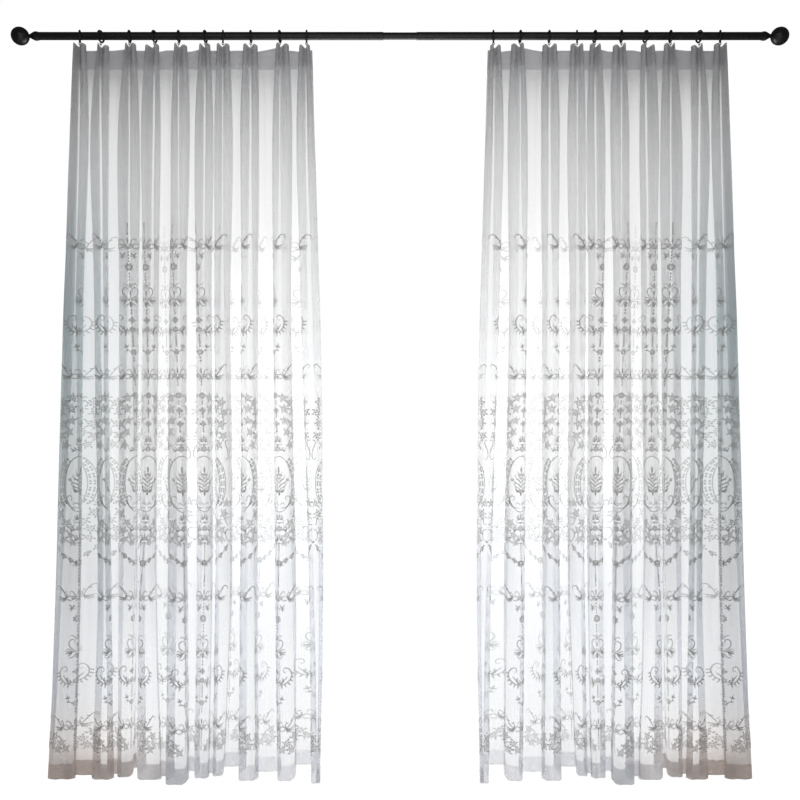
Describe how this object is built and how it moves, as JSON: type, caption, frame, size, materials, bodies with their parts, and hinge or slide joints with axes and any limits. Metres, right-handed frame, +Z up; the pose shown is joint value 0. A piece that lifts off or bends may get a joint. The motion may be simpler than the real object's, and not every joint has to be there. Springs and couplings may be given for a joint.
{
  "type": "pair of sheer voile curtains on a ringed rod",
  "caption": "Two embroidered sheer panels with double pinch pleats, hanging in soft folds from rings on a straight telescopic rod with ball finials.",
  "frame": {"origin": "middle of the rod on its own middle line", "axes": "+X along the rod, +Z up, -Y the side that the curtains' faces look to"},
  "size_m": [2.844, 0.1642, 2.7318],
  "materials": {
    "voile": "sheer plain-weave polyester voile, matt, with tone-on-tone embroidery",
    "heading_tape": "stiff white woven tape, matt",
    "rod_black": "satin black",
    "ring_black": "satin black",
    "hook_steel": "bright zinc"
  },
  "bodies": {
    "root": {"panel_left": "voile", "heading_tape_left": "heading_tape", "ring_left_01": "ring_black", "ring_left_02": "ring_black", "ring_left_03": "ring_black", "ring_left_04": "ring_black", "ring_left_05": "ring_black", "ring_left_06": "ring_black", "ring_left_07": "ring_black", "ring_left_08": "ring_black", "ring_left_09": "ring_black", "ring_left_10": "ring_black", "hook_left_01": "hook_steel", "hook_left_02": "hook_steel", "hook_left_03": "hook_steel", "hook_left_04": "hook_steel", "hook_left_05": "hook_steel", "hook_left_06": "hook_steel", "hook_left_07": "hook_steel", "hook_left_08": "hook_steel", "hook_left_09": "hook_steel", "hook_left_10": "hook_steel", "rod_outer_tube_left": "rod_black", "collar_left": "rod_black", "finial_left": "rod_black", "panel_right": "voile", "heading_tape_right": "heading_tape", "ring_right_01": "ring_black", "ring_right_02": "ring_black", "ring_right_03": "ring_black", "ring_right_04": "ring_black", "ring_right_05": "ring_black", "ring_right_06": "ring_black", "ring_right_07": "ring_black", "ring_right_08": "ring_black", "ring_right_09": "ring_black", "ring_right_10": "ring_black", "hook_right_01": "hook_steel", "hook_right_02": "hook_steel", "hook_right_03": "hook_steel", "hook_right_04": "hook_steel", "hook_right_05": "hook_steel", "hook_right_06": "hook_steel", "hook_right_07": "hook_steel", "hook_right_08": "hook_steel", "hook_right_09": "hook_steel", "hook_right_10": "hook_steel", "rod_outer_tube_right": "rod_black", "collar_right": "rod_black", "finial_right": "rod_black", "rod_inner_tube": "rod_black"}
  },
  "joints": []
}
